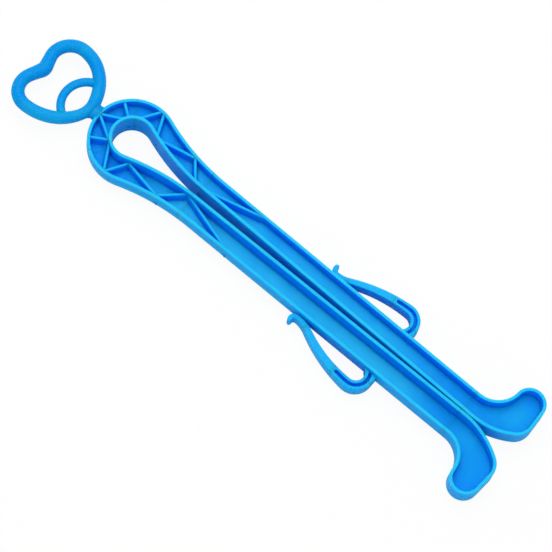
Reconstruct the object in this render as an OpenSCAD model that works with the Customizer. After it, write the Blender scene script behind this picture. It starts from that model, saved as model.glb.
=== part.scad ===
// Boot shaper: a one-piece plastic moulding with a hanging ring, a spring bow,
// two legs with turned-out feet and two spring clips. It lies flat, rims up,
// with +Y towards the hanging ring. The origin is under the middle of its box.

/* [Walls] */
// Thickness of the whole moulding, which is the height of the inner walls
thickness = 19.3; // [16:0.1:23]
// Thickness of the walls round the bow, legs and feet
wall = 2.1; // [1.5:0.1:2.8]
// Height of the web's underside above the ground
web_z = 5.5; // [4.8:0.1:7]
// Thickness of the web between the walls
web_t = 2.0; // [1.2:0.1:2.5]
// Thickness of the zigzag ribs
rib_t = 1.9; // [1.5:0.1:2.3]
// How far a rib stays below the top of the outer wall
rib_drop = 0.7; // [0.3:0.1:1.5]
// Height of the outer wall at the crown
outer_h_crown = 10.2; // [9:0.1:11.5]
// Height of the outer wall where the legs end
outer_h_ankle = 13.0; // [11:0.1:14]
// Height of the wall round the sole and toe
foot_h = 14.4; // [13:0.1:16]

/* [Bow] */
// Radius of the outside of the bow
bow_r = 28.2; // [27:0.1:30]
// Radius of the hole through the bow
hole_r = 12.7; // [11.5:0.1:13.5]
// Distance from the bow's centre down to where its sides become the legs
bow_drop = 61.4; // [58:0.5:66]
// Distance from the bow's centre down to where the hole becomes the leg gap
hole_drop = 57.2; // [54:0.5:60]
// Half angle of the stiff crown at the top of the bow
crown_angle = 55; // [50:1:60]

/* [Legs] */
// Length from the bow's centre to the ankle
leg_len = 264.5; // [255:0.5:275]
// Distance from the middle to the outside of a leg, at the bow
leg_out_top = 17.3; // [16.8:0.1:18.5]
// Distance from the middle to the outside of a leg, at the ankle
leg_out_low = 16.2; // [15.5:0.1:16.8]
// Gap between the two legs where the hole ends
gap_top = 5.4; // [5:0.1:6]
// Gap between the two legs at the ankle
gap_low = 0.36; // [0.3:0.02:0.8]

/* [Feet] */
// Radius of the instep
instep_r = 16.5; // [15:0.1:18]
// Radius of the toe
toe_r = 10.1; // [9:0.1:11]
// Distance from the middle to the centre of the toe
toe_x = 31.1; // [30:0.1:32.5]
// Radius of the heel
heel_r = 12.2; // [11:0.1:13]
// Distance from the middle to the centre of the heel
heel_x = 19.2; // [18.5:0.1:20.5]
// Radius of the back of the foot, between leg and heel
back_r = 50; // [48:0.5:54]

/* [Clips] */
// Distance from the middle to the centre of the clip's bend
clip_x = 21.8; // [21.4:0.1:22.6]
// Distance from the bow's centre down to the centre of the clip's bend
clip_drop = 198.6; // [190:0.5:205]
// Outer radius of the clip's bend
clip_out_r = 11.9; // [11.4:0.1:12.6]
// Inner radius of the clip's bend
clip_in_r = 5.8; // [5.4:0.1:6.2]
// Height from the centre of the bend up to the centre of the tip's curl
clip_rise = 48.6; // [46:0.2:50]
// Gap between the clip's tip and the leg
clip_gap = 0.35; // [0.3:0.05:0.8]
// Thickness of the tip
tip_t = 2.8; // [2.4:0.1:3.2]
// Inside radius of the tip's curl
tip_in_r = 1.2; // [0.8:0.1:1.6]
// Width of the groove round the bend
groove_w = 1.8; // [1.2:0.1:2.2]
// Height of the clip at its bend
clip_h = 10.6; // [9:0.1:11.5]
// Height of the clip at its tip
tip_h = 9.8; // [8.5:0.1:10.6]

/* [Hanging ring] */
// Radius of the ring's round bar
ring_bar_r = 4.2; // [3.6:0.1:4.6]
// Radius of the two lobes, at the middle of the bar
lobe_r = 12.8; // [12:0.1:13.8]
// Distance from the middle to the centre of a lobe
lobe_x = 13.4; // [12.8:0.1:14]
// Radius of the long sides, at the middle of the bar
side_r = 30.6; // [29.1:0.5:32.6]
// Slope of the bar where the lobes dip between them
notch_slope = 21; // [16:1:26]
// Room between the bow and the ring's bar, bridged by the neck
neck_len = 1.8; // [1.2:0.1:3]
// Width of the neck
neck_w = 10.2; // [9:0.1:11.4]
// Height of the neck
neck_h = 6.2; // [5:0.1:6.8]
// Radius of the small bar across the ring's tip
eyelet_bar_r = 2.7; // [2.2:0.1:3.1]
// Radius that the small bar follows
eyelet_r = 16.3; // [15.5:0.1:17]
// Height from the ring's bottom to the centre of the small bar's curve
eyelet_rise = 2.6; // [1.8:0.1:3.6]
// How far the ring's middle lies above the middle of the moulding
ring_lift = 2.3; // [1:0.1:3.4]

/* [Hidden] */

BLUE = [0.16, 0.68, 0.98];
DEEP_BLUE = [0.02, 0.55, 0.92];

// Ribs as [inner end, outer end], each end [out from the middle, up from the bow's centre].
// The zigzag isn't a mirror image, so each side has its own.
CROWN_RIBS_RIGHT = [[[8.1, 12.4], [0.7, 26.1]], [[9.6, 11.3], [16.1, 20.6]]];
CROWN_RIBS_LEFT = [[[8.5, 12.1], [0.5, 26.1]], [[9.3, 11.5], [15.4, 21.1]]];
BOW_RIBS_RIGHT = [
    [[12.7, 7.6], [26.1, -0.2]],
    [[12.5, -9.2], [25.9, -3.0]],
    [[11.6, -11.9], [17.3, -36.0]],
    [[5.1, -47.0], [17.3, -36.4]]
];
BOW_RIBS_LEFT = [
    [[12.4, 8.2], [26.1, 0.4]],
    [[12.8, -8.3], [26.1, -0.9]],
    [[12.8, -8.6], [17.6, -34.3]],
    [[5.1, -47.3], [17.6, -34.7]]
];
LEG_RIB_RIGHT = [[4.8, -54.0], [15.0, -91.3]];
LEG_RIB_LEFT = [[4.9, -52.2], [15.1, -87.7]];

// Where one zone gives way to the next, beyond the curve that ends there
gap_split = 5.2;
foot_split = 2.5;
bend_split = 11.6;
tip_split = 8;
// Distance from the ankle down to where the back of the foot starts to curve
back_start = 3.5;
// Lean of the clip's outer curve where it leaves the bend, and that curve's radius
arm_lean = 5;
arm_out_r = 105;
// Radius of the clip's inner curve
arm_in_r = 87.6;
// Angle at which the tip's curl ends
curl_end = 70;
// Angle at which the bend's inner curve runs into the root
root_angle = -150;
// How far the groove's outer end runs up the arm, and how far it leans in there
groove_end = [-0.8, 9];
// Angle above level at which the small bar enters the ring
eyelet_angle = 20;
// How far the neck lies below the middle of the ring
neck_sink = 0.6;

// Derived heights
mid_z = thickness / 2;
web_top = web_z + web_t;
ring_z = mid_z + ring_lift;
clip_z = web_z + web_t / 2;

// Derived places along the length, measured from the bow's centre
ring_bottom_y = bow_r + neck_len + ring_bar_r;
side_x = lobe_x + lobe_r - side_r;
ring_y = ring_bottom_y + sqrt(side_r * side_r - side_x * side_x);
ring_top_y = ring_y + lobe_r + ring_bar_r;
leg_top_y = gap_split - hole_drop;
foot_top_y = foot_split - leg_len;
instep_x = leg_out_low + instep_r;
toe_y = -leg_len - sqrt(pow(instep_r + toe_r, 2) - pow(instep_x - toe_x, 2));
back_y = -leg_len - back_start;
back_x = gap_low / 2 + back_r;
heel_y = back_y - sqrt(pow(back_r - heel_r, 2) - pow(back_x - heel_x, 2));
sole_y = heel_y - heel_r;
shift_y = -(ring_top_y + sole_y) / 2;

// Derived clip sizes
clip_y = -clip_drop;
tip_y = clip_y + clip_rise;
tip_mid_r = tip_in_r + tip_t / 2;
tip_out_r = tip_in_r + tip_t;
bend_split_y = clip_y + bend_split;
tip_split_y = tip_y - tip_split;
groove_r = (clip_out_r + clip_in_r) / 2;

// How far a rib's plan runs on at both ends, where the walls' inner faces cut it off
rib_reach = 3 * wall;

// Slack used to cut right through
over = 1;

function polar(r, a) = [r * cos(a), r * sin(a)];
function arc(c, r, a0, a1, n) = [for (i = [0:n]) c + polar(r, a0 + (a1 - a0) * i / n)];
function flank_r(r, c_y, x, y) = (x * x + pow(y - c_y, 2) - r * r) / (2 * (r - x));
function flank_angle(r, c_y, x, y) = let (f = flank_r(r, c_y, x, y)) atan2(c_y - y, x + f);
function leg_out(y) = leg_out_top + (leg_out_low - leg_out_top) * (y + bow_drop) / (bow_drop - leg_len);
function reversed(v) = [for (i = [len(v) - 1:-1:0]) v[i]];

// Radius of an arc that is upright at point p, bulges to -X and touches circle c, r
function touch_r(c, r, p) = let (dx = p[0] - c[0], dy = p[1] - c[1])
    (dx * dx + dy * dy - r * r) / (2 * (r - dx));

// The foot's sole touches the toe circle and the heel circle
sole_angle = atan2(heel_y - toe_y, heel_x - toe_x)
    + acos((toe_r - heel_r) / norm([heel_x - toe_x, heel_y - toe_y]));
instep_angle = atan2(-leg_len - toe_y, instep_x - toe_x);
heel_angle = atan2(heel_y - back_y, heel_x - back_x);

out_flank = flank_r(bow_r, 0, leg_out_top, -bow_drop);
out_angle = flank_angle(bow_r, 0, leg_out_top, -bow_drop);
hole_flank = flank_r(hole_r, 0, gap_top / 2, -hole_drop);
hole_angle = flank_angle(hole_r, 0, gap_top / 2, -hole_drop);

// The clip's outer curve leaves the bend at a lean and runs into the curl of the tip
arm_start = [clip_x, clip_y] + polar(clip_out_r, arm_lean);
arm_centre = arm_start - polar(arm_out_r, arm_lean);
tip_leg_x = leg_out(tip_y) + clip_gap;
tip_x = tip_leg_x + tip_out_r;
throat_x = tip_x - tip_in_r;
throat_r = touch_r(arm_centre, arm_out_r, [throat_x, tip_y]);
throat_angle = atan2(tip_y - arm_centre[1], throat_x + throat_r - arm_centre[0]);

// The clip's inner curve leaves the bend upright and touches the curve that passes the leg
arm_in_centre = [clip_x + clip_in_r - arm_in_r, clip_y];
pass_r = touch_r(arm_in_centre, arm_in_r, [tip_leg_x, tip_y]);
pass_angle = atan2(tip_y - arm_in_centre[1], tip_leg_x + pass_r - arm_in_centre[0]);

// Outer face from the top of the bow to the ankle, moved inwards by d
function outer_side(d) = concat(
    arc([0, 0], bow_r - d, 90, -out_angle, 22),
    arc([leg_out_top + out_flank, -bow_drop], out_flank + d, 180 - out_angle, 180, 8)
);
// Foot from the instep round the toe, sole and heel to the back of the leg, moved inwards by d
function foot_side(d) = concat(
    arc([instep_x, -leg_len], instep_r + d, 180, 180 + instep_angle, 12),
    arc([toe_x, toe_y], toe_r - d, instep_angle, sole_angle - 360, 18),
    arc([heel_x, heel_y], heel_r - d, sole_angle, heel_angle + 360, 8),
    arc([back_x, back_y], back_r - d, heel_angle, -180, 8)
);
// Inner face from the end of the hole up round the hole, moved outwards by d
function inner_side(d) = concat(
    arc([gap_top / 2 + hole_flank, -hole_drop], hole_flank - d, 180, 180 - hole_angle, 8),
    arc([0, 0], hole_r + d, -hole_angle, 90, 18)
);

// One half of the moulding in plan, from its outer face, moved inwards by d
module half_plan(d) {
    polygon(concat(outer_side(d), foot_side(d), inner_side(d)));
}

module wall_plan() {
    difference() {
        half_plan(0);
        half_plan(wall);
    }
}

// Zones of one half, in plan
module crown_zone() {
    reach = 3 * bow_r;
    polygon([[0, 0], [0, reach], [reach * tan(crown_angle), reach]]);
}

module bow_zone() {
    reach = 3 * bow_r;
    polygon([[0, leg_top_y], [0, 0], [reach * tan(crown_angle), reach], [reach, leg_top_y]]);
}

module leg_zone() {
    translate([0, foot_top_y]) square([3 * bow_r, leg_top_y - foot_top_y]);
}

module foot_zone() {
    translate([0, sole_y - over]) square([3 * bow_r, foot_top_y - sole_y + over]);
}

// The strip between the two walls splits each zone into an inner and an outer part
module inner_part() {
    r = (bow_r + hole_r) / 2;
    x = (leg_out_top + gap_top / 2) / 2;
    f = flank_r(r, 0, x, -bow_drop);
    a = flank_angle(r, 0, x, -bow_drop);
    polygon(concat(
        [[0, -leg_len - over]],
        [[0, r]],
        arc([0, 0], r, 90, -a, 22),
        arc([x + f, -bow_drop], f, 180 - a, 180, 8),
        [[(leg_out_low + gap_low / 2) / 2, foot_top_y - over]]
    ));
}

module heel_part() {
    mid_x = (leg_out_low + gap_low / 2) / 2;
    polygon([
        [-over, foot_top_y + over],
        [mid_x, foot_top_y + over],
        [heel_x, heel_y],
        [heel_x, sole_y - over],
        [-over, sole_y - over]
    ]);
}

// A prism over the whole width whose height changes along the length.
// Each station is [y, half height], and the height is shared above and below the middle.
module height_band(stations) {
    top = [for (s = stations) [s[0], mid_z + s[1]]];
    low = [for (s = reversed(stations)) [s[0], mid_z - s[1]]];
    translate([-over, 0, 0])
        rotate([90, 0, 90])
            linear_extrude(3 * bow_r)
                polygon(concat(top, low));
}

module outer_band() {
    height_band([
        [bow_r + over, outer_h_crown / 2],
        [foot_top_y, outer_h_ankle / 2],
        [toe_y + toe_r / 2, foot_h / 2],
        [sole_y - over, foot_h / 2]
    ]);
}

module heel_band() {
    height_band([
        [foot_top_y + over, mid_z],
        [foot_top_y, mid_z],
        [heel_y, foot_h / 2],
        [sole_y - over, foot_h / 2]
    ]);
}

// Puts a piece in its place, on the right or mirrored to the left
module right() {
    translate([0, shift_y, 0]) children();
}

module left() {
    translate([0, shift_y, 0]) mirror([1, 0, 0]) children();
}

module both_sides() {
    children();
    mirror([1, 0, 0]) children();
}

// One rib in plan, long enough to reach both walls
module rib_plan(ends) {
    run = ends[1] - ends[0];
    translate(ends[0])
        rotate(atan2(run[1], run[0]))
            translate([-rib_reach, -rib_t / 2])
                square([norm(run) + 2 * rib_reach, rib_t]);
}

// The side view of one rib. Its top is level, a little below the outer wall's top. Below the
// web it is a gusset that falls from the outer wall's underside to the inner wall's foot.
module rib_side(ends) {
    run = ends[1] - ends[0];
    span = norm(run);
    half = outer_half(ends[1][1]) - rib_drop;
    translate([ends[0][0], ends[0][1], 0])
        rotate([0, 0, atan2(run[1], run[0])])
            rotate([90, 0, 0])
                translate([0, 0, -rib_t])
                    linear_extrude(2 * rib_t)
                        polygon([
                            [-rib_reach, mid_z + half],
                            [span + rib_reach, mid_z + half],
                            [span + rib_reach, mid_z - half],
                            [span, mid_z - half],
                            [0, rib_drop],
                            [-rib_reach, rib_drop]
                        ]);
}

function outer_half(y) = outer_h_crown / 2
    + (outer_h_ankle - outer_h_crown) / 2 * (bow_r - y) / (bow_r - foot_top_y);

// A rib stands on both faces of the web, between the walls
module rib(ends) {
    difference() {
        intersection() {
            linear_extrude(thickness)
                intersection() {
                    half_plan(wall);
                    rib_plan(ends);
                }
            rib_side(ends);
        }
        translate([-over, -leg_len, web_z])
            cube([3 * bow_r, leg_len + 2 * bow_r, web_t]);
    }
}

module web(zone) {
    translate([0, 0, web_z])
        linear_extrude(web_t)
            intersection() {
                half_plan(wall);
                children();
            }
}

// Hanging ring

module ring_arc(c, r, a0, a1, bar) {
    translate([c[0], c[1], 0])
        rotate([0, 0, a0])
            rotate_extrude(angle = a1 - a0, $fn = 96)
                translate([r, 0])
                    circle(bar, $fn = 48);
}

// Half of the ring, cut off at the middle, where it meets the other half
module half_ring() {
    dip = [lobe_x, ring_y] + polar(lobe_r, 90 + notch_slope);
    intersection() {
        union() {
            ring_arc([side_x, ring_y], side_r, -90, 0, ring_bar_r);
            ring_arc([lobe_x, ring_y], lobe_r, 0, 90 + notch_slope, ring_bar_r);
            translate([dip[0], dip[1], 0])
                rotate([0, 0, 180 + notch_slope])
                    rotate([0, 90, 0])
                        cylinder(h = 2 * lobe_x, r = ring_bar_r, $fn = 48);
        }
        translate([0, -ring_y, -ring_bar_r - over])
            cube([2 * side_r, 3 * ring_y, 2 * (ring_bar_r + over)]);
    }
}

module ring_solid() {
    translate([0, 0, ring_z]) both_sides() half_ring();
}

module heart_ring() {
    color(BLUE) right() ring_solid();
}

module heart_eyelet() {
    color(BLUE)
        right()
            difference() {
                translate([0, 0, ring_z])
                    ring_arc([0, ring_bottom_y + eyelet_rise], eyelet_r, eyelet_angle, 180 - eyelet_angle, eyelet_bar_r);
                ring_solid();
            }
}

module hanger_neck() {
    color(BLUE)
        right()
            difference() {
                translate([-neck_w / 2, bow_r - over, ring_z - neck_h / 2 - neck_sink])
                    cube([neck_w, ring_bottom_y - bow_r + over, neck_h]);
                linear_extrude(thickness) both_sides() half_plan(0);
                ring_solid();
            }
}

// Crown of the bow

module crown_web() {
    color(DEEP_BLUE) right() both_sides() web() crown_zone();
}

module crown_outer_wall() {
    color(BLUE)
        right()
            both_sides()
                intersection() {
                    linear_extrude(thickness)
                        difference() {
                            intersection() {
                                wall_plan();
                                crown_zone();
                            }
                            inner_part();
                        }
                    outer_band();
                }
}

module crown_inner_wall() {
    color(BLUE)
        right()
            both_sides()
                linear_extrude(thickness)
                    intersection() {
                        wall_plan();
                        crown_zone();
                        inner_part();
                    }
}

module crown_ribs() {
    color(BLUE) {
        right() for (ends = CROWN_RIBS_RIGHT) rib(ends);
        left() for (ends = CROWN_RIBS_LEFT) rib(ends);
    }
}

// Sides of the bow

module bow_web() {
    color(DEEP_BLUE) web() bow_zone();
}

module bow_outer_wall() {
    color(BLUE)
        intersection() {
            linear_extrude(thickness)
                difference() {
                    intersection() {
                        wall_plan();
                        bow_zone();
                    }
                    inner_part();
                }
            outer_band();
        }
}

module bow_inner_wall() {
    color(BLUE)
        linear_extrude(thickness)
            intersection() {
                wall_plan();
                bow_zone();
                inner_part();
            }
}

module bow_ribs(ribs) {
    color(BLUE) for (ends = ribs) rib(ends);
}

// Legs

module leg_web() {
    color(DEEP_BLUE) web() leg_zone();
}

module leg_outer_wall() {
    color(BLUE)
        intersection() {
            linear_extrude(thickness)
                difference() {
                    intersection() {
                        wall_plan();
                        leg_zone();
                    }
                    inner_part();
                }
            outer_band();
        }
}

module leg_inner_wall() {
    color(BLUE)
        linear_extrude(thickness)
            intersection() {
                wall_plan();
                leg_zone();
                inner_part();
            }
}

module leg_rib(ends) {
    color(BLUE) rib(ends);
}

// Feet

module foot_web() {
    color(DEEP_BLUE) web() foot_zone();
}

module foot_wall() {
    color(BLUE) {
        intersection() {
            linear_extrude(thickness)
                difference() {
                    intersection() {
                        wall_plan();
                        foot_zone();
                    }
                    heel_part();
                }
            outer_band();
        }
        intersection() {
            linear_extrude(thickness)
                intersection() {
                    wall_plan();
                    foot_zone();
                    heel_part();
                }
            heel_band();
        }
    }
}

// Clips

function clip_outline() = concat(
    [[leg_out(clip_y - clip_out_r), clip_y - clip_out_r]],
    arc([clip_x, clip_y], clip_out_r, -90, arm_lean, 16),
    arc(arm_centre, arm_out_r, arm_lean, throat_angle, 8),
    arc([throat_x + throat_r, tip_y], throat_r, 180 + throat_angle, 180, 4),
    arc([tip_x, tip_y], tip_in_r, 180, curl_end, 6),
    arc([tip_x, tip_y] + polar(tip_mid_r, curl_end), tip_t / 2, curl_end - 180, curl_end, 8),
    arc([tip_x, tip_y], tip_out_r, curl_end, 180, 8),
    arc([tip_leg_x + pass_r, tip_y], pass_r, 180, 180 + pass_angle, 6),
    arc(arm_in_centre, arm_in_r, pass_angle, 0, 8),
    arc([clip_x, clip_y], clip_in_r, 0, root_angle, 14),
    [[leg_out(clip_y - clip_in_r / 2), clip_y - clip_in_r / 2]]
);

function groove_outline() = concat(
    arc([clip_x, clip_y], groove_r + groove_w / 2, root_angle, 0, 16),
    arc([clip_x + groove_r, clip_y] + groove_end, groove_w / 2, 0, 180, 8),
    arc([clip_x, clip_y], groove_r - groove_w / 2, 0, root_angle, 16)
);

module clip_plan() {
    difference() {
        polygon(clip_outline());
        half_plan(0);
    }
}

// The clips lie level with the web, a little below the middle of the walls
module clip_band() {
    translate([0, 0, clip_z - mid_z])
        height_band([
            [tip_y + tip_out_r + over, tip_h / 2],
            [tip_y - tip_out_r, tip_h / 2],
            [clip_y, clip_h / 2],
            [clip_y - clip_out_r - over, clip_h / 2]
        ]);
}

// The groove is cut from above and from below, down to the web
module groove() {
    for (z = [web_z - thickness, web_top])
        translate([0, 0, z]) linear_extrude(thickness) polygon(groove_outline());
}

module clip_piece() {
    color(BLUE)
        difference() {
            intersection() {
                linear_extrude(thickness)
                    intersection() {
                        clip_plan();
                        children();
                    }
                clip_band();
            }
            groove();
        }
}

module clip_root() {
    clip_piece()
        translate([0, clip_y - clip_out_r - over])
            square([clip_x, clip_out_r + over]);
}

module clip_bend() {
    clip_piece()
        difference() {
            translate([0, clip_y - clip_out_r - over])
                square([3 * clip_out_r, bend_split_y - clip_y + clip_out_r + over]);
            translate([0, clip_y - clip_out_r - 2 * over])
                square([clip_x, clip_out_r + 2 * over]);
        }
}

module clip_arm() {
    clip_piece()
        translate([0, bend_split_y])
            square([3 * clip_out_r, tip_split_y - bend_split_y]);
}

module clip_tip() {
    clip_piece()
        translate([0, tip_split_y])
            square([3 * clip_out_r, tip_y - tip_split_y + tip_out_r + over]);
}

heart_ring();
heart_eyelet();
hanger_neck();
crown_web();
crown_outer_wall();
crown_inner_wall();
crown_ribs();
left() bow_web();  // left_bow_web
left() bow_outer_wall();  // left_bow_outer_wall
left() bow_inner_wall();  // left_bow_inner_wall
left() bow_ribs(BOW_RIBS_LEFT);  // left_bow_ribs
left() leg_web();  // left_leg_web
left() leg_outer_wall();  // left_leg_outer_wall
left() leg_inner_wall();  // left_leg_inner_wall
left() leg_rib(LEG_RIB_LEFT);  // left_leg_rib
left() foot_web();  // left_foot_web
left() foot_wall();  // left_foot_wall
left() clip_root();  // left_clip_root
left() clip_bend();  // left_clip_bend
left() clip_arm();  // left_clip_arm
left() clip_tip();  // left_clip_tip
right() bow_web();  // right_bow_web
right() bow_outer_wall();  // right_bow_outer_wall
right() bow_inner_wall();  // right_bow_inner_wall
right() bow_ribs(BOW_RIBS_RIGHT);  // right_bow_ribs
right() leg_web();  // right_leg_web
right() leg_outer_wall();  // right_leg_outer_wall
right() leg_inner_wall();  // right_leg_inner_wall
right() leg_rib(LEG_RIB_RIGHT);  // right_leg_rib
right() foot_web();  // right_foot_web
right() foot_wall();  // right_foot_wall
right() clip_root();  // right_clip_root
right() clip_bend();  // right_clip_bend
right() clip_arm();  // right_clip_arm
right() clip_tip();  // right_clip_tip
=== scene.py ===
import bpy
import numpy as np
from mathutils import Matrix, Vector


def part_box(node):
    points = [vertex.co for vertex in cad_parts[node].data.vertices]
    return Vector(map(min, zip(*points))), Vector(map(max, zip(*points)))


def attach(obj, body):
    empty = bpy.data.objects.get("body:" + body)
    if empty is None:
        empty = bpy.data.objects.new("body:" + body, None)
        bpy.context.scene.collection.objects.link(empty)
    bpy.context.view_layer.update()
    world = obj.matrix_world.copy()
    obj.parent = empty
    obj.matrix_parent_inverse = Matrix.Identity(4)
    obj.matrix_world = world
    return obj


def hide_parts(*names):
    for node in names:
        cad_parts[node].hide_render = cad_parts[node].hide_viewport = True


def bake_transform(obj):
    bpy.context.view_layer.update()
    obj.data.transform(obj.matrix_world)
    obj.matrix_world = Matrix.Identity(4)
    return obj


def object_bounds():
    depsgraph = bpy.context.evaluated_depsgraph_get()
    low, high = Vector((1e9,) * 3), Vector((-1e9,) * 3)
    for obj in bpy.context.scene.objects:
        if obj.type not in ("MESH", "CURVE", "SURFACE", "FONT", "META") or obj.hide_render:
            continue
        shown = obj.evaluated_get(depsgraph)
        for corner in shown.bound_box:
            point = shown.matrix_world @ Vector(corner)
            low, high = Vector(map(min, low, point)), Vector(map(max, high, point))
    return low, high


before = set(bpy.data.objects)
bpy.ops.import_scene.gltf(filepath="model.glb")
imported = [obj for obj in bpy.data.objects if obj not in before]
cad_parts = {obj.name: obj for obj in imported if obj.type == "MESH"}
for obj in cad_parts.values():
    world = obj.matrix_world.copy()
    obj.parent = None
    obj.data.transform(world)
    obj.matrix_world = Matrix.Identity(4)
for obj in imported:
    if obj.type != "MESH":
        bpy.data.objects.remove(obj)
cad_low, cad_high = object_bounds()

# Moulded plastic
# The whole shaper is one shot of azure polypropylene. Its colour runs from a deep azure, painted shade in
# the recesses and on faces turned from the light, to a pale one, a painted highlight on the rims and tops.
# The skin is satin and a little cloudy where the melt flowed.
# The deep azure is the colour in painted shade, and the pale azure is the colour with a painted highlight
SHADE_AZURE = (0.000, 0.270, 0.960)
AZURE = (0.000, 0.370, 0.860)
HIGHLIGHT_AZURE = (0.020, 0.560, 0.890)
MM = 0.001
SHARP = np.radians(38)


def node(tree, kind, sockets):
    """A new shader node. Each named socket takes a value, or a link from another node's output."""
    made = tree.nodes.new("ShaderNode" + kind)
    for name, source in sockets.items():
        if isinstance(source, bpy.types.NodeSocket):
            tree.links.new(source, made.inputs[name])
        else:
            made.inputs[name].default_value = source
    return made


def azure_plastic(name, grain, roughness, cloudy, level=1.0):
    """Deep to pale azure, from painted shade to painted highlight, by the mesh's painted light plus a
    cloudy noise, a little rougher where the noise is high, with a soft ripple and a fine grain as bump.
    Level darkens all its colours."""
    material = bpy.data.materials.new(name)
    material.use_nodes = True
    tree = material.node_tree
    shader = tree.nodes["Principled BSDF"]
    shader.inputs["Specular IOR Level"].default_value = 0.06
    shader.inputs["IOR"].default_value = 1.49
    shader.inputs["Subsurface Weight"].default_value = 0.6
    shader.inputs["Subsurface Radius"].default_value = (0.2, 0.6, 1.0)
    shader.inputs["Subsurface Scale"].default_value = 0.006
    place = node(tree, "TexCoord", {}).outputs["Object"]

    # The mesh's painted light and shade, a value from 0 to 1, picks the colour
    painted_light = node(tree, "Attribute", {})
    painted_light.attribute_name = "painted_light"
    cloud = node(tree, "TexNoise", {"Vector": place, "Scale": 42, "Detail": 3}).outputs["Fac"]
    drift = node(tree, "MapRange", {"Value": cloud, "From Min": 0.25, "From Max": 0.75,
                                    "To Min": -cloudy, "To Max": cloudy})
    shade = node(tree, "Math", {0: painted_light.outputs["Fac"], 1: drift.outputs["Result"]})
    ramp = node(tree, "ValToRGB", {"Fac": shade.outputs["Value"]})
    stops = ramp.color_ramp.elements
    stops.new(0.50)
    for stop, azure in zip(stops, (SHADE_AZURE, AZURE, HIGHLIGHT_AZURE)):
        stop.color = (*(level * c for c in azure), 1)

    skin = node(tree, "TexNoise", {"Vector": place, "Scale": 1500, "Detail": 2}).outputs["Fac"]
    ripple = node(tree, "TexNoise", {"Vector": place, "Scale": 130, "Detail": 1}).outputs["Fac"]
    fine = node(tree, "Bump", {"Strength": grain, "Distance": 0.00005, "Height": skin})
    broad = node(tree, "Bump", {"Strength": 0.25, "Distance": 0.0002, "Height": ripple,
                                "Normal": fine.outputs["Normal"]})
    wear = node(tree, "MapRange", {"Value": cloud, "To Min": roughness - 0.05, "To Max": roughness + 0.07})
    tree.links.new(ramp.outputs["Color"], shader.inputs["Base Color"])
    tree.links.new(broad.outputs["Normal"], shader.inputs["Normal"])
    tree.links.new(wear.outputs["Result"], shader.inputs["Roughness"])
    return material


wall_plastic = azure_plastic("azure_wall", grain=0.10, roughness=0.40, cloudy=0.08)
floor_plastic = azure_plastic("azure_recess", grain=0.35, roughness=0.50, cloudy=0.16)
# The ring's copy is darkened by level: painted shade over all its colours
ring_shaded_plastic = azure_plastic("azure_ring_shaded", grain=0.10, roughness=0.34, cloudy=0.22, level=0.84)


def piece(name, points, faces, material, painted_light):
    """A mesh from points in millimetres in the row frame, smooth apart from its sharp edges. Its
    faces all turn round if the volume they enclose, summed over their triangles, is negative.
    Tone is painted light: 0 where the plastic gets painted shade and looks deep, 1 where it gets a painted
    highlight and looks pale."""
    fans = np.array([(face[0], *pair) for face in faces for pair in zip(face[1:-1], face[2:])])
    a, b, c = points[fans].transpose(1, 0, 2)
    if (a * np.cross(b, c)).sum() < 0:
        faces = [face[::-1] for face in faces]
    mesh = bpy.data.meshes.new(name)
    mesh.from_pydata((points * MM).tolist(), [], faces)
    shades = mesh.attributes.new("painted_light", "FLOAT", "POINT")
    shades.data.foreach_set("value", np.broadcast_to(painted_light, (len(points),)).astype(np.float32))
    mesh.validate()
    mesh.shade_smooth()
    mesh.set_sharp_from_angle(angle=SHARP)
    mesh.materials.append(material)
    made = bpy.data.objects.new(name, mesh)
    bpy.context.scene.collection.objects.link(made)
    return made


def tube_faces(rings, sides, closed=False):
    """Quads that join each ring of points to the next, with the two ends capped if it is open."""
    ring = np.arange(rings if closed else rings - 1)[:, None] * sides
    side = np.arange(sides)[None, :]
    after = (side + 1) % sides
    step = (ring + sides) % (rings * sides)
    quads = np.stack([ring + side, ring + after, step + after, step + side], -1)
    faces = quads.reshape(-1, 4).tolist()
    if not closed:
        faces.append(list(range(sides))[::-1])
        faces.append(list(range((rings - 1) * sides, rings * sides)))
    return faces


# Inner walls
# The wall round the hole of the bow and down both sides of the gap runs the full thickness.
# Its rims are what the shaper lies on. It is moulded with the rest, so pieces only part it
# where the crown, the bow and the legs move apart.
thickness = (cad_high.z - cad_low.z) / MM
mid_z = thickness / 2
wall = 2.1
hole_r = 12.7
hole_drop = 57.2
gap_top = 5.4
gap_low = 0.36
crown_end = 35
leg_top_y = -52.0
foot_top_y = -262.0
back_y = -268.0
shift_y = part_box("crown_inner_wall")[1].y / MM - hole_r - wall

# Painted light on the walls: a painted highlight on the rims, and a level of painted shade for the faces,
# the hole's a little lighter than the outer faces'
rim_round = 0.6
rim_highlight = 0.85
rim_highlight_band = 0.2
rim_highlight_fade = 0.8
hole_shade = 0.45
seam_half = 0.35
seam_raised = 0.06
# A painted highlight along the parting line
seam_highlight = 0.35
FLAT_ROWS = 11
quarter = np.radians(np.linspace(0, 90, 6))


def circle_point(centre, radius, angle):
    """Points on a circle, for angles in degrees, one row each."""
    angle = np.radians(np.atleast_1d(angle).astype(float))
    radius = np.broadcast_to(radius, angle.shape)
    return np.stack([centre[0] + radius * np.cos(angle), centre[1] + radius * np.sin(angle)], 1)


def sweep(centre, radius, start, end, inwards):
    """An arc from start to end degrees, with a point for about every millimetre. Its circle's
    radius changes by inwards for each millimetre of the distance d from the wall's face."""
    count = max(3, int(abs(np.radians(end - start)) * radius) + 2)
    angles = np.linspace(start, end, count)
    return lambda d: circle_point(centre, radius + inwards * d, angles)


def straight(start, end, spacing=2.5):
    """A line between two points, each given as a function of the distance d from the face."""
    count = max(2, int(np.hypot(*(np.array(end(0)) - start(0))) / spacing) + 2)
    share = np.linspace(0, 1, count)[:, None]
    return lambda d: np.array(start(d)) * (1 - share) + np.array(end(d)) * share


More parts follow.
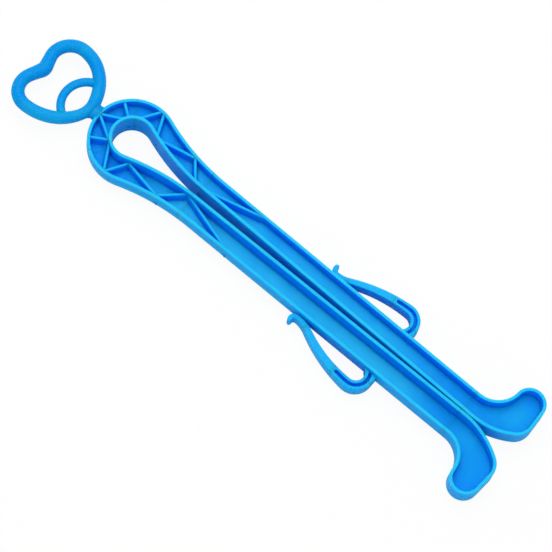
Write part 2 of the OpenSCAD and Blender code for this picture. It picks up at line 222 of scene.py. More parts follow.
def joined(*parts):
    """Several stretches end to end as one, without the points they share."""
    return lambda d: np.concatenate([parts[0](d)] + [part(d)[1:] for part in parts[1:]])


def flank_radius(radius, x, y):
    """The radius of a circle that is upright at x, y and touches one of a given radius round the
    origin from outside: the square of the point's distance from the origin, less the square of
    that radius, over twice the radius less x."""
    return (x * x + y * y - radius * radius) / (2 * (radius - x))


def flank_turn(flank, x, y):
    """The angle below the level, in degrees, at which that circle touches."""
    return np.degrees(np.arctan2(-y, x + flank))


def angle_at(flank, centre_y, y):
    """The angle on the left half of the flank's circle at height y, in degrees."""
    return 180 - np.degrees(np.arcsin((y - centre_y) / flank))


def ankle_inside(d):
    """Where leg and foot part the inner wall, at the distance d from its face. The gap narrows
    evenly from the hole to the heel."""
    widening = (gap_top - gap_low) / 2 * (foot_top_y - back_y) / (-hole_drop - back_y)
    return gap_low / 2 + d + widening, foot_top_y


hole_flank = flank_radius(hole_r, gap_top / 2, -hole_drop)
hole_turn = flank_turn(hole_flank, gap_top / 2, -hole_drop)
hole_centre = (gap_top / 2 + hole_flank, -hole_drop)
hole_split = angle_at(hole_flank, -hole_drop, leg_top_y)

inner_crown = sweep((0, 0), hole_r, 180 - crown_end, crown_end, inwards=1)
inner_bow = joined(
    sweep((0, 0), hole_r, crown_end, -hole_turn, inwards=1),
    sweep(hole_centre, hole_flank, 180 - hole_turn, hole_split, inwards=-1),
)
inner_leg = joined(
    sweep(hole_centre, hole_flank, hole_split, 180, inwards=-1),
    straight(lambda d: (gap_top / 2 + d, -hole_drop), ankle_inside),
)


def smooth(share):
    """A step from 0 to 1 that starts and ends gently: three squares of the share less two cubes."""
    share = np.clip(share, 0, 1)
    return share * share * (3 - 2 * share)


def placed(points, side=1):
    """Points measured from the bow's centre, mirrored by side -1 and moved to the row frame."""
    return points * [side, 1, 1] + [0, shift_y, 0]


def rounded_box(low, high, corner):
    """A wall's section, once round, as the distance from its face and the height, with round
    corners. low and high are the heights of its edges, with one value for each station."""
    sine, cosine = corner * np.sin(quarter), corner * np.cos(quarter)
    low, high = np.atleast_1d(low)[:, None], np.atleast_1d(high)[:, None]
    flat = (1 - np.cos(np.linspace(0, np.pi, FLAT_ROWS + 2)[1:-1])) / 2
    side = low + corner + (high - low - 2 * corner) * flat
    runs = [
        (np.full(flat.size, wall), side),
        (wall - corner + cosine, high - corner + sine),
        (corner - sine, high - corner + cosine),
        (np.zeros(flat.size), side[:, ::-1]),
        (corner - cosine, low + corner - sine),
        (wall - corner + sine, low + corner - cosine),
    ]
    across = np.concatenate([np.broadcast_to(a, (len(low), len(a))) for a, _ in runs], 1)
    height = np.concatenate([h for _, h in runs], 1)
    return across, height


def wall_mesh(name, line, low, high, side=1, seam=None, face_shade=0.4):
    """The section carried along a wall. line gives the face at each depth, side 1 or -1
    mirrors it, and seam is the height of the mould's parting line on the face. The tone is
    painted light: painted shade at the face's own level on its face, deepest painted shade on
    the recess's side and a painted highlight at the two rims."""
    face, back = line(0), line(wall)
    bottom, top = low(face[:, 1]), high(face[:, 1])
    across, height = rounded_box(bottom, top, rim_round)
    share = across / wall
    to_rim = np.minimum(top[:, None] - height, height - bottom[:, None])
    # Painted shade deepens towards the recess's side, and a painted highlight covers both rims
    painted_light = face_shade * (1 - smooth(share * 2 - 0.5))
    painted_light = painted_light + (rim_highlight - painted_light) * (1 - smooth((to_rim - rim_highlight_band) / rim_highlight_fade))
    # The parting line is raised a little, and painted paler along it as a painted highlight on its ridge
    if seam is not None:
        on_face = share < 0.01
        near = np.exp(-((height - seam) / seam_half) ** 2) * on_face
        share = share - seam_raised * near
        painted_light = painted_light + seam_highlight * near
    plan = face[:, None, :] * (1 - share[..., None]) + back[:, None, :] * share[..., None]
    points = np.concatenate([plan, height[..., None]], -1).reshape(-1, 3)
    return piece(name, placed(points, side), tube_faces(*across.shape), wall_plastic, painted_light.ravel())


def full_low(y):
    """The foot of the inner wall, at 0 for every height y of the plan."""
    return np.zeros(len(y))


def full_high(y):
    """The top of the inner wall, at the full thickness for every height y of the plan."""
    return np.full(len(y), thickness)


SIDES = {"left": -1, "right": 1}


def bends_with_bow(made, node):
    """A piece of the bow's side, with its placement baked into its mesh, stands for its node."""
    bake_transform(made)
    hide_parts(node)


def rides_leg(made, side_name, node):
    """A piece of a leg or foot moves with that leg and stands for its node."""
    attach(made, side_name + "_leg")
    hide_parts(node)


made = wall_mesh("crown_hole_rim", inner_crown, full_low, full_high, face_shade=hole_shade)
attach(made, "crown")
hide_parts("crown_inner_wall")
for side_name, side in SIDES.items():
    made = wall_mesh(side_name + "_bow_hole_rim", inner_bow, full_low, full_high, side, face_shade=hole_shade)
    bends_with_bow(made, side_name + "_bow_inner_wall")
    made = wall_mesh(side_name + "_leg_gap_rim", inner_leg, full_low, full_high, side, face_shade=hole_shade)
    rides_leg(made, side_name, side_name + "_leg_inner_wall")

# Outer walls
# The wall round the outside of the bow and down the outside of each leg is lower than the
# inner one. It grows from the crown to the ankle, alike above and below the middle.
bow_r = 28.2
bow_drop = 61.4
leg_len = 264.5
leg_out_top = 17.3
leg_out_low = 16.2
outer_h_crown = 10.2
outer_h_ankle = 13.0
seam_z = 7.2


def leg_out(y):
    """How far out the outer wall's face is beside the leg, which narrows evenly to the foot."""
    return leg_out_top + (leg_out_low - leg_out_top) * (y + bow_drop) / (bow_drop - leg_len)


def ankle_outside(d):
    """Where leg and foot part the outer wall, at the distance d from its face."""
    return leg_out(foot_top_y) - d, foot_top_y


out_flank = flank_radius(bow_r, leg_out_top, -bow_drop)
out_turn = flank_turn(out_flank, leg_out_top, -bow_drop)
out_centre = (leg_out_top + out_flank, -bow_drop)
out_split = angle_at(out_flank, -bow_drop, leg_top_y)

outer_crown = sweep((0, 0), bow_r, 180 - crown_end, crown_end, inwards=-1)
outer_bow = joined(
    sweep((0, 0), bow_r, crown_end, -out_turn, inwards=-1),
    sweep(out_centre, out_flank, 180 - out_turn, out_split, inwards=1),
)
outer_leg = joined(
    sweep(out_centre, out_flank, out_split, 180, inwards=1),
    straight(lambda d: (leg_out_top - d, -bow_drop), ankle_outside),
)


def outer_half(y):
    """Half the outer wall's height, which grows evenly from the crown to the ankle."""
    share = (bow_r - y) / (bow_r - foot_top_y)
    return (outer_h_crown + (outer_h_ankle - outer_h_crown) * share) / 2


def outer_low(y):
    """The foot of the outer wall, half its height below the middle."""
    return mid_z - outer_half(y)


def outer_high(y):
    """The top of the outer wall, half its height above the middle."""
    return mid_z + outer_half(y)


made = wall_mesh("crown_outer_rim", outer_crown, outer_low, outer_high, seam=seam_z)
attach(made, "crown")
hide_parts("crown_outer_wall")
for side_name, side in SIDES.items():
    made = wall_mesh(side_name + "_bow_outer_rim", outer_bow, outer_low, outer_high, side, seam=seam_z)
    bends_with_bow(made, side_name + "_bow_outer_wall")
    made = wall_mesh(side_name + "_leg_outer_rim", outer_leg, outer_low, outer_high, side, seam=seam_z)
    rides_leg(made, side_name, side_name + "_leg_outer_wall")

# Feet
# Each leg ends in a foot that turns outwards. One wall runs from the ankle over the instep,
# round the toe, along the sole and up the heel, where it climbs to the inner wall's height.
instep_r = 16.5
toe_r = 10.1
toe_x = 31.1
heel_r = 12.2
heel_x = 19.2
back_r = 50.0
foot_h = 14.4

instep_x = leg_out_low + instep_r
toe_y = -leg_len - np.sqrt((instep_r + toe_r) ** 2 - (instep_x - toe_x) ** 2)
back_x = gap_low / 2 + back_r
heel_y = back_y - np.sqrt((back_r - heel_r) ** 2 - (back_x - heel_x) ** 2)
sole_turn = np.degrees(
    np.arctan2(heel_y - toe_y, heel_x - toe_x)
    + np.arccos((toe_r - heel_r) / np.hypot(heel_x - toe_x, heel_y - toe_y))
)
instep_turn = np.degrees(np.arctan2(-leg_len - toe_y, instep_x - toe_x))
heel_turn = np.degrees(np.arctan2(heel_y - back_y, heel_x - back_x))

instep_line = joined(
    straight(ankle_outside, lambda d: (leg_out_low - d, -leg_len), spacing=1.0),
    sweep((instep_x, -leg_len), instep_r, 180, 180 + instep_turn, inwards=1),
)
toe_line = sweep((toe_x, toe_y), toe_r, instep_turn, sole_turn - 360, inwards=-1)
sole_line = straight(lambda d: circle_point((toe_x, toe_y), toe_r - d, sole_turn)[0],
                     lambda d: circle_point((heel_x, heel_y), heel_r - d, sole_turn)[0], spacing=1.0)
heel_line = joined(
    sweep((heel_x, heel_y), heel_r, sole_turn, heel_turn + 360, inwards=-1),
    sweep((back_x, back_y), back_r, heel_turn, -180, inwards=-1),
    straight(lambda d: (gap_low / 2 + d, back_y), ankle_inside, spacing=1.0),
)
foot_line = joined(instep_line, toe_line, sole_line, heel_line)
front_count = len(joined(instep_line, toe_line, sole_line)(0))


def foot_half(y):
    """Half the foot wall's height: from the ankle's to the toe's in front, and from the full
    thickness down to the toe's at the heel."""
    front = np.arange(len(y)) < front_count
    to_toe = np.clip((foot_top_y - y) / (foot_top_y - toe_y - toe_r / 2), 0, 1)
    ahead = (outer_h_ankle + (foot_h - outer_h_ankle) * to_toe) / 2
    behind = mid_z + (foot_h / 2 - mid_z) * smooth((foot_top_y - y) / (foot_top_y - heel_y))
    return np.where(front, ahead, behind)


for side_name, side in SIDES.items():
    made = wall_mesh(side_name + "_foot_rim", foot_line,
                     lambda y: mid_z - foot_half(y), lambda y: mid_z + foot_half(y), side, seam=seam_z)
    rides_leg(made, side_name, side_name + "_foot_wall")

# Webs
# A thin web closes the channel between the inner and the outer walls, a little below the
# middle. It meets every wall in a small fillet, above and below.
web_z = 5.5
web_t = 2.0
web_fillet = 1.5
toe_split = -60
FILLET_LANES = (0, 0.06, 0.16, 0.3, 0.48, 0.7, 1.0, 1.35)
MIDDLE_LANES = 10
FILLET_MOST = 0.45

# Painted light on the webs: painted shade at the crown and the feet, a painted highlight down the legs,
# most on the left, and painted shadow beside every wall
crown_shade = 0.42
leg_highlight = 0.85
leg_highlight_split = 0.12
foot_shade = 0.48
shade_run = 50
ankle_shade_y = -215
wall_shadow = 1.8
shadow_least = 0.15


def even(points, count):
    """Points drawn again at a set number of equal steps along their line."""
    reach = np.concatenate([[0], np.cumsum(np.hypot(*np.diff(points, axis=0).T))])
    steps = np.linspace(0, reach[-1], count)
    return np.stack([np.interp(steps, reach, points[:, k]) for k in (0, 1)], 1)


def wall_distance(points, edge):
    """The distance from each point to the nearest stretch of an edge."""
    start, run = edge[:-1], np.diff(edge, axis=0)
    away = points[:, None, :] - start[None]
    share = np.clip((away * run).sum(-1) / (run * run).sum(-1), 0, 1)
    gap = away - share[..., None] * run
    return np.sqrt((gap * gap).sum(-1)).min(1)


def floor_painted_light(y, side):
    """The web gets painted shade at the crown and the feet, and a painted highlight down the legs, the left
    one most.
    """
    legs = leg_highlight - leg_highlight_split * side
    down_bow, down_ankle = smooth(-y / shade_run), smooth((ankle_shade_y - y) / shade_run)
    return crown_shade + (legs - crown_shade) * down_bow - (legs - foot_shade) * down_ankle


def web_mesh(name, left_edge, right_edge, stations, side=1):
    """A grid from one wall to the other, whose lanes crowd at both walls. Its top rises and
    its underside falls to a fillet by the distance to the nearest wall, on a quarter circle.
    Beside a wall its painted light falls off into painted shadow."""
    left, right = left_edge(wall), right_edge(wall)
    a, b = even(left, stations), even(right, stations)
    run = np.hypot(*(b - a).T)[:, None]
    near_wall = np.minimum(np.array(FILLET_LANES) * web_fillet / np.maximum(run, 1e-6), FILLET_MOST)
    between = np.linspace(0, 1, MIDDLE_LANES + 2)[1:-1]
    middle = near_wall[:, -1:] + (1 - 2 * near_wall[:, -1:]) * between
    lanes = np.concatenate([near_wall, middle, 1 - near_wall[:, ::-1]], 1)
    plan = a[:, None] * (1 - lanes[..., None]) + b[:, None] * lanes[..., None]
    flat = plan.reshape(-1, 2)
    near = np.minimum(wall_distance(flat, left), wall_distance(flat, right))
    close = np.clip(near, 0, web_fillet)
    rise = web_fillet - np.sqrt(web_fillet ** 2 - (web_fillet - close) ** 2)
    painted_light = floor_painted_light(flat[:, 1], side) * smooth(near / wall_shadow + shadow_least)
    count = lanes.shape[1]
    top = np.column_stack([flat, web_z + web_t + rise, painted_light]).reshape(stations, count, 4)
    low = np.column_stack([flat, web_z - rise, painted_light]).reshape(stations, count, 4)
    grid = np.concatenate([top, low[:, ::-1]], 1).reshape(-1, 4)
    faces = tube_faces(stations, 2 * count)
    return piece(name, placed(grid[:, :3], side), faces, floor_plastic, grid[:, 3])


made = web_mesh("crown_floor", inner_crown, outer_crown, stations=48)
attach(made, "crown")
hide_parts("crown_web")
toe_tip = joined(instep_line, sweep((toe_x, toe_y), toe_r, instep_turn, toe_split, inwards=-1))
sole_back = joined(
    sweep((toe_x, toe_y), toe_r, toe_split, sole_turn - 360, inwards=-1), sole_line, heel_line
)
for side_name, side in SIDES.items():
    made = web_mesh(side_name + "_bow_floor", inner_bow, outer_bow, 96, side)
    bends_with_bow(made, side_name + "_bow_web")
    made = web_mesh(side_name + "_leg_floor", inner_leg, outer_leg, 90, side)
    rides_leg(made, side_name, side_name + "_leg_web")
    made = web_mesh(side_name + "_foot_floor", lambda d: sole_back(d)[::-1], toe_tip, 72, side)
    rides_leg(made, side_name, side_name + "_foot_web")

# Zigzag ribs
# Thin ribs brace the bow between its two walls. Above the web their tops are level, just under
# the outer rim. Below it each is a gusset that falls to the foot of the inner wall.
rib_t = 1.9
rib_drop = 0.7
rib_foot = 0.9
# Painted light on the ribs: a painted highlight on the tops, fading into painted shade down the sides
rib_top_highlight = 0.75
rib_highlight_band = 0.3
rib_highlight_fade = 0.8
RIB_STATIONS = 14
BURY_REACH = 9

# Each rib is its inner and outer end, out from the middle and up from the bow's centre
CROWN_RIBS = {
    "right": [((8.1, 12.4), (0.7, 26.1)), ((9.6, 11.3), (16.1, 20.6))],
    "left": [((8.5, 12.1), (0.5, 26.1)), ((9.3, 11.5), (15.4, 21.1))],
}
BOW_RIBS = {
    "right": [((12.7, 7.6), (26.1, -0.2)), ((12.5, -9.2), (25.9, -3.0)),
              ((11.6, -11.9), (17.3, -36.0)), ((5.1, -47.0), (17.3, -36.4))],
    "left": [((12.2, 8.6), (26.1, 0.4)), ((12.8, -8.3), (26.1, -0.9)),
             ((12.8, -8.6), (17.6, -34.3)), ((5.1, -47.3), (17.6, -34.7))],
}
LEG_RIBS = {
    "right": [((4.8, -54.0), (15.0, -91.3))],
    "left": [((4.9, -52.2), (15.1, -87.7))],
}
inner_edge = joined(inner_crown, inner_bow, inner_leg)
outer_edge = joined(outer_crown, outer_bow, outer_leg)


def buried(point, direction, edge):
    """The point moved on in small steps, past the near side of the wall, until it is half the
    wall's thickness away from that side."""
    reach = np.linspace(0, BURY_REACH, 181)[:, None]
    tried = point + reach * direction
    deep = wall_distance(tried, edge)
    nearest = deep.argmin()
    far = nearest + np.argmax(deep[nearest:] > wall / 2)
    return tried[far]


def carried(path, way, across, height):
    """A section carried along a level path. Each station's points lie across it, along the
    direction way, and each at its own height."""
    plan = path[:, None, :] + across[..., None] * way[:, None, :]
    return np.concatenate([plan, height[..., None]], -1)


def rib_mesh(ends, side):
    """A plate with a round top and a flared foot at the web, carried from wall to wall.
    Half its width and its height go once round, and the height is stretched at each station."""
    inner, outer = np.array(ends[0], float), np.array(ends[1], float)
    length = np.hypot(*(outer - inner))
    direction = (outer - inner) / length
    start = buried(inner, -direction, inner_edge(wall))
    end = buried(outer, direction, outer_edge(wall))
    share = np.linspace(0, 1, RIB_STATIONS)[:, None]
    spine = start * (1 - share) + end * share
    from_inner = np.clip(((spine - inner) @ direction) / length, 0, 1)
    half = outer_half(outer[1]) - rib_drop

    flare = np.radians(np.linspace(0, 90, 5))
    w = rib_t / 2
    rows = np.ones((RIB_STATIONS, 1))
    top = (mid_z + half) * rows
    low = (rib_drop + (mid_z - half - rib_drop) * from_inner)[:, None]
    low = np.minimum(low, web_z - rib_foot)
    out_flare = w + rib_foot - rib_foot * np.sin(flare)
    up_flare = web_z + web_t + rib_foot - rib_foot * np.cos(flare)
    down_flare = web_z - rib_foot + rib_foot * np.cos(flare)
    across = np.concatenate([
        rows * w * np.sin(quarter), rows * out_flare[::-1], rows * out_flare,
        rows * w * np.cos(quarter)], 1)
    height = np.concatenate([
        top - w + w * np.cos(quarter), rows * up_flare[::-1], rows * down_flare,
        low + w - w * np.sin(quarter)], 1)
    across = np.concatenate([across, -across[:, ::-1][:, 1:-1]], 1)
    height = np.concatenate([height, height[:, ::-1][:, 1:-1]], 1)
    normal = np.array([[-direction[1], direction[0]]])
    points = placed(carried(spine, normal, across, height).reshape(-1, 3), side)
    # A painted highlight near the top, painted shade below it
    painted_light = rib_top_highlight * (1 - smooth((top - height - rib_highlight_band) / rib_highlight_fade))
    return points, tube_faces(*across.shape), painted_light.ravel()


def rib_set(name, ribs):
    """Several ribs in one mesh, each given as its ends and its side. Mirroring turns a left
    rib's faces inside out, so they are turned back."""
    points, tones, faces, count = [], [], [], 0
    for ends, side in ribs:
        rib_points, rib_faces, rib_tones = rib_mesh(ends, side)
        points.append(rib_points)
        tones.append(rib_tones)
        faces += [[count + corner for corner in face[::side]] for face in rib_faces]
        count += len(rib_points)
    return piece(name, np.concatenate(points), faces, wall_plastic, np.concatenate(tones))


made = rib_set("crown_zigzag", [(ends, SIDES[n]) for n in SIDES for ends in CROWN_RIBS[n]])
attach(made, "crown")
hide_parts("crown_ribs")
for side_name, side in SIDES.items():
    made = rib_set(side_name + "_bow_zigzag", [(ends, side) for ends in BOW_RIBS[side_name]])
    bends_with_bow(made, side_name + "_bow_ribs")
    made = rib_set(side_name + "_leg_brace", [(ends, side) for ends in LEG_RIBS[side_name]])
    rides_leg(made, side_name, side_name + "_leg_rib")

# Clips
# A flat spring arm grows from the outside of each leg, level with the web, turns back on itself
# in a U and runs up to a curled tip that presses on the leg and holds the boot's upper. Grooves
# above and below lighten the bend. The root rides the leg, the bend is baked in place, and the arm and the
# tip ride the clip's own body.
clip_x = 21.8
clip_y = -198.6
clip_z = web_z + web_t / 2
clip_out_r = 11.9
clip_in_r = 5.8
clip_rise = 48.6
clip_gap = 0.35
clip_h = 10.6
tip_h = 9.8
tip_t = 3.0
tip_in_r = 1.5
arm_lean = 5.0
arm_out_r = 105.0
arm_in_r = 87.6
curl_end = 78
root_turn = -150
root_in_wall = 1.2
root_in_drop = 3.5
bend_split = 11.6
tip_split = 8.0
lip_round = 0.85
lip_most = 0.9
groove_w = 2.2
groove_deep = 4.3
groove_top_y = 9.9
groove_edge = 0.35
groove_shut = 0.05
groove_floor = 0.55

# Painted light on the clips: a base of painted shade, lighter to the outer side and deeper to the inner
# side, painted highlights along the top and bottom edges and painted shade in the grooves
clip_shade = 0.3
clip_side_light = 0.2
clip_rim_highlight = 0.7
clip_rim = 0.9
clip_rim_highlight_fade = 0.6
groove_rim = 0.3
groove_shade = 0.15
ROOT_STATIONS = 12
BEND_STATIONS = 40
ARM_STATIONS = 90
CURL_STATIONS = 16
ARC_STEPS = 120

tip_y = clip_y + clip_rise
tip_out_r = tip_in_r + tip_t
tip_leg_x = leg_out(tip_y) + clip_gap
tip_x = tip_leg_x + tip_out_r
throat_x = tip_x - tip_in_r
arm_centre = circle_point((clip_x, clip_y), clip_out_r - arm_out_r, arm_lean)[0]
throat = np.array((throat_x, tip_y)) - arm_centre
throat_r = flank_radius(arm_out_r, *throat)
throat_turn = -flank_turn(throat_r, *throat)
arm_in_centre = (clip_x + clip_in_r - arm_in_r, clip_y)
passing = np.array((tip_leg_x, tip_y)) - arm_in_centre
pass_r = flank_radius(arm_in_r, *passing)
pass_turn = -flank_turn(pass_r, *passing)


def arc_points(centre, radius, start, end):
    """Many points on an arc from start to end degrees."""
    return circle_point(centre, radius, np.linspace(start, end, ARC_STEPS))


# Each pair is the outer and the inner edge of one stretch of the clip
root_out_y = clip_y - clip_out_r
root_pair = (
    even(np.array([[leg_out(root_out_y) - root_in_wall, root_out_y], [clip_x, root_out_y]]),
         ROOT_STATIONS),
    even(np.concatenate([[[leg_out(clip_y) - root_in_wall, clip_y - root_in_drop]],
                         arc_points((clip_x, clip_y), clip_in_r, root_turn, -90)]), ROOT_STATIONS),
)
bend_pair = (
    even(arc_points((clip_x, clip_y), clip_out_r, -90, arm_lean), BEND_STATIONS),
    even(arc_points((clip_x, clip_y), clip_in_r, -90, 0), BEND_STATIONS),
)
arm_pair = (
    even(np.concatenate([
        arc_points(arm_centre, arm_out_r, arm_lean, throat_turn),
        arc_points((throat_x + throat_r, tip_y), throat_r, 180 + throat_turn, 180)]), ARM_STATIONS),
    even(np.concatenate([
        arc_points(arm_in_centre, arm_in_r, 0, pass_turn),
        arc_points((tip_leg_x + pass_r, tip_y), pass_r, 180 + pass_turn, 180)]), ARM_STATIONS),
)
curl_pair = tuple(
    even(arc_points((tip_x, tip_y), radius, 180, curl_end), CURL_STATIONS)
    for radius in (tip_in_r, tip_out_r)
)

# The curl's end is half a circle, which stops just short of its last point
curl_stop = circle_point((tip_x, tip_y), tip_in_r + tip_t / 2, curl_end)[0]
curl_way = circle_point((0, 0), 1, curl_end - 90)[0]
curl_side = circle_point((0, 0), 1, curl_end)[0]
end_turn = np.radians(np.linspace(0, 88, 9))[1:, None]
end_pair = tuple(
    curl_stop + tip_t / 2 * (np.sin(end_turn) * curl_way + sign * np.cos(end_turn) * curl_side)
    for sign in (-1, 1)
)
clip_outer, clip_inner = (
    np.concatenate([root_pair[k], *(pair[k][1:] for pair in (bend_pair, arm_pair, curl_pair)), end_pair[k]])
    for k in (0, 1)
)
clip_mid = (clip_outer + clip_inner) / 2
root_stop = ROOT_STATIONS - 1
bend_stop = int(np.argmax(clip_mid[:, 1] > clip_y + bend_split))
tip_start = int(np.argmax(clip_mid[:, 1] > tip_y - tip_split))


def clip_half(y):
    """Half the clip's height, from the bend's to the tip's."""
    share = np.clip((y - clip_y) / (clip_rise - tip_out_r), 0, 1)
    return (clip_h + (tip_h - clip_h) * share) / 2


def clip_sections():
    """Every station's section, once round: a bar with round edges and a groove in its top and
    underside. One quarter runs from the side's middle over the lip to the groove's floor, and
    the other three mirror it. Seen from above the groove ends in a half circle, and it has its
    full depth from a third of its width on."""
    mid_y = clip_mid[:, 1]
    half = clip_half(mid_y)[:, None]
    width = np.hypot(*(clip_outer - clip_inner).T)[:, None] / 2
    to_end = np.clip((groove_top_y - (mid_y - clip_y)[:, None]) / (groove_w / 2), 0, 1)
    cut = np.sqrt(1 - (1 - to_end) ** 2)
    groove = np.maximum(groove_w / 2 * cut, groove_shut)
    deep, edge = groove_deep * smooth(cut * 3), groove_edge * smooth(cut * 3)
    lip = np.minimum(lip_round, width * lip_most)
    edge_turn = np.radians(np.linspace(0, 90, 4))

    out = np.concatenate([
        width, width - lip + lip * np.cos(quarter), groove + edge - edge * np.sin(edge_turn),
        groove, groove * groove_floor], 1)
    up = np.concatenate([
        0 * half, half - lip + lip * np.sin(quarter), half - edge + edge * np.cos(edge_turn),
        half - deep + edge, half - deep], 1)
    across = np.concatenate([out, -out[:, ::-1], -out[:, 1:], out[:, :0:-1]], 1)
    height = np.concatenate([up, up[:, ::-1], -up[:, 1:], -up[:, :0:-1]], 1)
    points = carried(clip_mid, (clip_outer - clip_inner) / (2 * width), across, clip_z + height)

    # Painted shade towards the inner side, painted highlights at the edges, painted shade in the grooves
    painted_light = clip_shade + clip_side_light * across / width
    painted_light = painted_light + (clip_rim_highlight - painted_light) * smooth((np.abs(height) - half + clip_rim) / clip_rim_highlight_fade)
    in_groove = (np.abs(across) <= groove + 0.01) & (np.abs(height) < half - groove_rim) & (cut > 0)
    return points, np.where(in_groove, groove_shade, painted_light)


clip_points, clip_shades = clip_sections()


def clip_mesh(name, first, last, side):
    """The stations from first to last as one piece, on either side."""
    points, painted_light = clip_points[first:last + 1], clip_shades[first:last + 1]
    faces = tube_faces(*painted_light.shape)
    return piece(name, placed(points.reshape(-1, 3), side), faces, wall_plastic, painted_light.ravel())


for side_name, side in SIDES.items():
    clip_body = side_name + "_clip"
    made = clip_mesh(side_name + "_clip_foot", 0, root_stop, side)
    rides_leg(made, side_name, side_name + "_clip_root")
    made = clip_mesh(side_name + "_clip_spring", root_stop, bend_stop, side)
    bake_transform(made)
    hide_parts(side_name + "_clip_bend")
    made = clip_mesh(side_name + "_clip_bar", bend_stop, tip_start, side)
    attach(made, clip_body)
    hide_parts(side_name + "_clip_arm")
    made = clip_mesh(side_name + "_clip_curl", tip_start, len(clip_points) - 1, side)
    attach(made, clip_body)
    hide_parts(side_name + "_clip_tip")

# Hanging ring
# A round bar is bent to a heart, whose two lobes dip between them to hang on a hook. A thin
# bar curves across its lower tip, and a short neck joins the tip to the crown of the bow.
ring_bar_r = 4.2
lobe_r = 12.78
lobe_x = 13.42
side_r = 30.6
notch_slope = 21
notch_r = 5.0
ring_tip_r = 16.0
neck_len = 2.2
ring_lift = 2.3
ring_z = mid_z + ring_lift
ring_tone = 0.5
HEART_STATIONS = 260
BAR_SIDES = 28

# The moulding's own unevenness: how it leans, the knob at its dip and its thin lower left side
lean_shift = 0.1
lean_slope = 0.0025
lobe_tilt = 0.067
tilt_run = 30
knob_share = 0.12
knob_reach = 5
slim_share = 0.13
slim_x = -7
slim_reach = 10

ring_bottom_y = bow_r + neck_len + ring_bar_r
side_x = lobe_x + lobe_r - side_r
ring_tip_y = ring_bottom_y + ring_tip_r
tip_turn = np.degrees(np.arcsin(-side_x / (side_r - ring_tip_r)))
ring_y = ring_tip_y + (side_r - ring_tip_r) * np.cos(np.radians(tip_turn))
dip = circle_point((lobe_x, ring_y), lobe_r, 90 + notch_slope)[0]
slope = np.radians(notch_slope)
dip_y = dip[1] - dip[0] * np.tan(slope) + notch_r / np.cos(slope)


def leaned(points):
    """The ring isn't quite symmetrical: it leans to the right and its left lobe is higher."""
    x, y = points[:, 0], points[:, 1]
    up = y - ring_bottom_y
    return np.stack([x + lean_shift + lean_slope * up, y - lobe_tilt * x * smooth(up / tilt_run)], 1)


def heart_line():
    """The middle of the bar at equal steps, from the tip round the right half to the dip, then
    mirrored: an arc each for the tip, the side, the lobe and the dip."""
    right = np.concatenate([
        arc_points((0, ring_tip_y), ring_tip_r, -90, -90 + tip_turn),
        arc_points((side_x, ring_y), side_r, -90 + tip_turn, 0)[1:],
        arc_points((lobe_x, ring_y), lobe_r, 0, 90 + notch_slope)[1:],
        arc_points((0, dip_y), notch_r, -90 + notch_slope, -90),
    ])
    left = right[::-1][1:] * [-1, 1]
    return even(leaned(np.concatenate([right, left])), HEART_STATIONS)[:-1]


def round_bar(name, path, radius, closed):
    """A circle carried along a level path. radius has one value a station."""
    if closed:
        ahead, behind = np.roll(path, -1, 0), np.roll(path, 1, 0)
    else:
        ahead, behind = np.vstack([path[1:], path[-1:]]), np.vstack([path[:1], path[:-1]])
    way = ahead - behind
    way = way / np.hypot(*way.T)[:, None]
    out = np.stack([way[:, 1], -way[:, 0]], 1)
    turn = np.linspace(0, 2 * np.pi, BAR_SIDES, endpoint=False)
    radius = radius[:, None]
    points = carried(path, out, radius * np.cos(turn), ring_z + radius * np.sin(turn))
    faces = tube_faces(len(path), BAR_SIDES, closed)
    return piece(name, placed(points.reshape(-1, 3)), faces, ring_shaded_plastic, ring_tone)


heart = heart_line()
knob = knob_share * np.exp(-((heart[:, 0] / knob_reach) ** 2)) * (heart[:, 1] > ring_y)
slim = slim_share * np.exp(-(((heart[:, 0] - slim_x) / slim_reach) ** 2)) * (heart[:, 1] < ring_y)
heart[:, 1] -= ring_bar_r * slim
made = round_bar("heart_bar", heart, ring_bar_r * (1 + knob - slim), closed=True)
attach(made, "crown")
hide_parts("heart_ring")

eyelet_bar_r = 2.75
eyelet_r = 16.33
eyelet_x = -0.93
eyelet_rise = 2.18
eyelet_end = 20
swell_share = 0.22
swell_hold = 2
swell_fade = 5
eyelet_turns = np.linspace(eyelet_end, 180 - eyelet_end, 90)
eyelet = circle_point((eyelet_x, ring_bottom_y + eyelet_rise), eyelet_r, eyelet_turns)
from_ends = np.array([eyelet_turns - eyelet_end, 180 - eyelet_end - eyelet_turns])
swell = 1 + swell_share * np.exp((swell_hold - from_ends) / swell_fade).sum(0).clip(0, 1)
made = round_bar("heart_tie_bar", eyelet, eyelet_bar_r * swell, closed=False)
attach(made, "crown")
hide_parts("heart_eyelet")

neck_w = 10.3
neck_h = 6.2
neck_sink = 0.6
neck_root = 1.2
neck_head = 2.0
neck_flare = 0.35
neck_power = 0.62
# Painted shade on the neck, and a painted highlight along the middle of its top
neck_shade = 0.15
neck_highlight = 0.5
neck_highlight_w = 1.8
NECK_STATIONS = 16
NECK_SIDES = 40


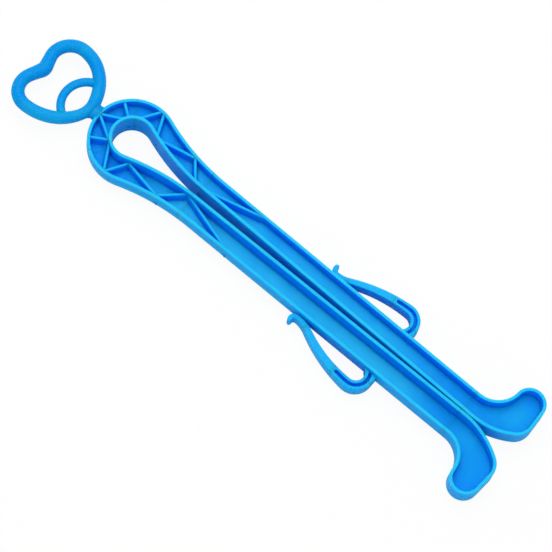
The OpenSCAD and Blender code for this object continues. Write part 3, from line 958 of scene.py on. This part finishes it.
def neck_mesh():
    """A saddle waisted between the bow's wall and the ring's bar. Its section's width and height
    are a power of the cosine and the sine. It is in painted shade, with a painted highlight
    along the middle of its top."""
    share = np.linspace(0, 1, NECK_STATIONS)[:, None]
    y = bow_r - neck_root + (neck_len + neck_root + neck_head) * share
    waist = 1 + neck_flare * (2 * share - 1) ** 2
    turn = np.linspace(0, 2 * np.pi, NECK_SIDES, endpoint=False)[None]
    wide, tall = (np.sign(wave) * np.abs(wave) ** neck_power / 2 for wave in (np.cos(turn), np.sin(turn)))
    across = wide * neck_w * waist
    height = tall * neck_h * (0.5 + waist / 2)
    points = np.stack([across, y + 0 * across, ring_z - neck_sink + height], -1).reshape(-1, 3)
    painted_light = neck_shade + neck_highlight * np.exp(-(across / neck_highlight_w) ** 2) * smooth(height / 2)
    faces = tube_faces(NECK_STATIONS, NECK_SIDES)
    return piece("neck_block", placed(points), faces, ring_shaded_plastic, painted_light.ravel())


made = neck_mesh()
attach(made, "crown")
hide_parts("hanger_neck")

# Studio
# The shaper lies on white paper under one broad soft lamp high on the right and a weaker
# one on the left, in a pale room. The camera looks down from the lower left.
paper_half = 3.0
paper_below = 0.0002
paper_seen = 0.93

paper = bpy.data.materials.new("white_paper")
paper.use_nodes = True
tree = paper.node_tree
matte = tree.nodes["Principled BSDF"]
matte.inputs["Base Color"].default_value = (0.86, 0.86, 0.86, 1)
matte.inputs["Roughness"].default_value = 0.9
matte.inputs["Specular IOR Level"].default_value = 0.0
glow = node(tree, "Emission", {"Color": (1, 1, 1, 1), "Strength": 1.0})
seen = node(tree, "LightPath", {})
share = node(tree, "Math", {0: seen.outputs["Is Camera Ray"], 1: paper_seen})
share.operation = "MULTIPLY"
mix = node(tree, "MixShader", {"Fac": share.outputs["Value"], 1: matte.outputs["BSDF"],
                               2: glow.outputs["Emission"]})
tree.links.new(mix.outputs["Shader"], tree.nodes["Material Output"].inputs["Surface"])

corners = [(-paper_half, -paper_half, 0), (paper_half, -paper_half, 0),
           (paper_half, paper_half, 0), (-paper_half, paper_half, 0)]
sheet = bpy.data.meshes.new("paper")
sheet.from_pydata(corners, [], [(0, 1, 2, 3)])
sheet.materials.append(paper)
ground = bpy.data.objects.new("paper", sheet)
bpy.context.scene.collection.objects.link(ground)
ground.location.z = cad_low.z - paper_below

# The room is white to the camera and dimmer to the plastic
world = bpy.data.worlds.new("room")
bpy.context.scene.world = world
world.use_nodes = True
room = world.node_tree.nodes["Background"]
room.inputs["Color"].default_value = (1, 1, 1, 1)
seen = node(world.node_tree, "LightPath", {})
level = world.node_tree.nodes.new("ShaderNodeMix")
level.data_type = "FLOAT"
level.inputs["A"].default_value = 0.65
level.inputs["B"].default_value = 1.0
world.node_tree.links.new(seen.outputs["Is Camera Ray"], level.inputs["Factor"])
world.node_tree.links.new(level.outputs["Result"], room.inputs["Strength"])


def lamp(name, place, size, watts):
    """A square soft lamp at a place, turned towards the middle of the shaper."""
    light = bpy.data.lights.new(name, "AREA")
    light.energy = watts
    light.size = size
    made = bpy.data.objects.new(name, light)
    bpy.context.scene.collection.objects.link(made)
    made.location = place
    made.rotation_euler = (-Vector(place)).to_track_quat("-Z", "Y").to_euler()


lamp("broad_lamp", (0.35, 0.30, 1.6), size=1.4, watts=15)
lamp("fill_lamp", (-1.0, -0.3, 1.1), size=0.9, watts=1)

camera_place = (-0.48114, -0.26774, 1.43695)
camera_right = (0.64529989, -0.75986923, 0.07865619)
camera_up = (0.69783051, 0.62822750, 0.34403894)
camera_back = (-0.31083858, -0.16711960, 0.93565507)
lens = bpy.data.cameras.new("camera")
lens.sensor_width = 36.0
lens.lens = 163.07
lens.clip_end = 20.0
camera = bpy.data.objects.new("camera", lens)
bpy.context.scene.collection.objects.link(camera)
turn = Matrix([camera_right, camera_up, camera_back]).transposed()
camera.matrix_world = Matrix.Translation(camera_place) @ turn.to_4x4()
bpy.context.scene.camera = camera
bpy.context.scene.view_settings.view_transform = "Standard"
